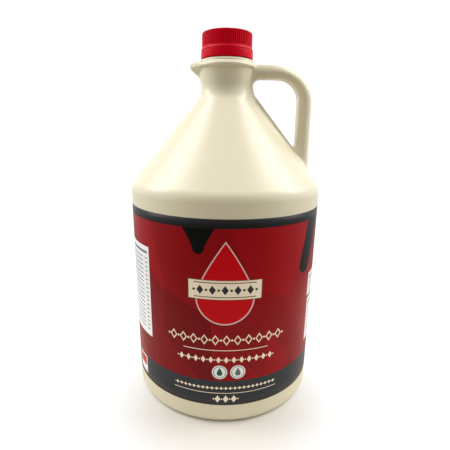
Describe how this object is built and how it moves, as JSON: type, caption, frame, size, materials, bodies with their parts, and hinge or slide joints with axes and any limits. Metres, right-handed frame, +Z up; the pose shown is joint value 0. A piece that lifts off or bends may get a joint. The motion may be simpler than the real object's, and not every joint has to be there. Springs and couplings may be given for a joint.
{
  "type": "round plastic syrup jug with carrying handle and screw cap",
  "caption": "Round cream plastic jug with a cone shoulder, side handle, pouring lip, ribbed red screw cap and a dark red wrap-round label.",
  "frame": {"origin": "centre of the flat base, on the surface the jug stands on", "axes": "+X towards the carrying handle, +Y away from the side the picture shows, +Z up towards the cap"},
  "size_m": [0.1602, 0.1602, 0.3006],
  "materials": {
    "cream_plastic": "blow-moulded polyethylene, satin, faintly waxy",
    "red_plastic": "injection-moulded polypropylene, semi-gloss, fine ribs",
    "printed_film": "glossy printed film with plain coloured fields"
  },
  "bodies": {
    "root": {"jug_body": "cream_plastic", "label_wrap": "printed_film", "tamper_band": "red_plastic", "screw_cap": "red_plastic"}
  },
  "joints": []
}
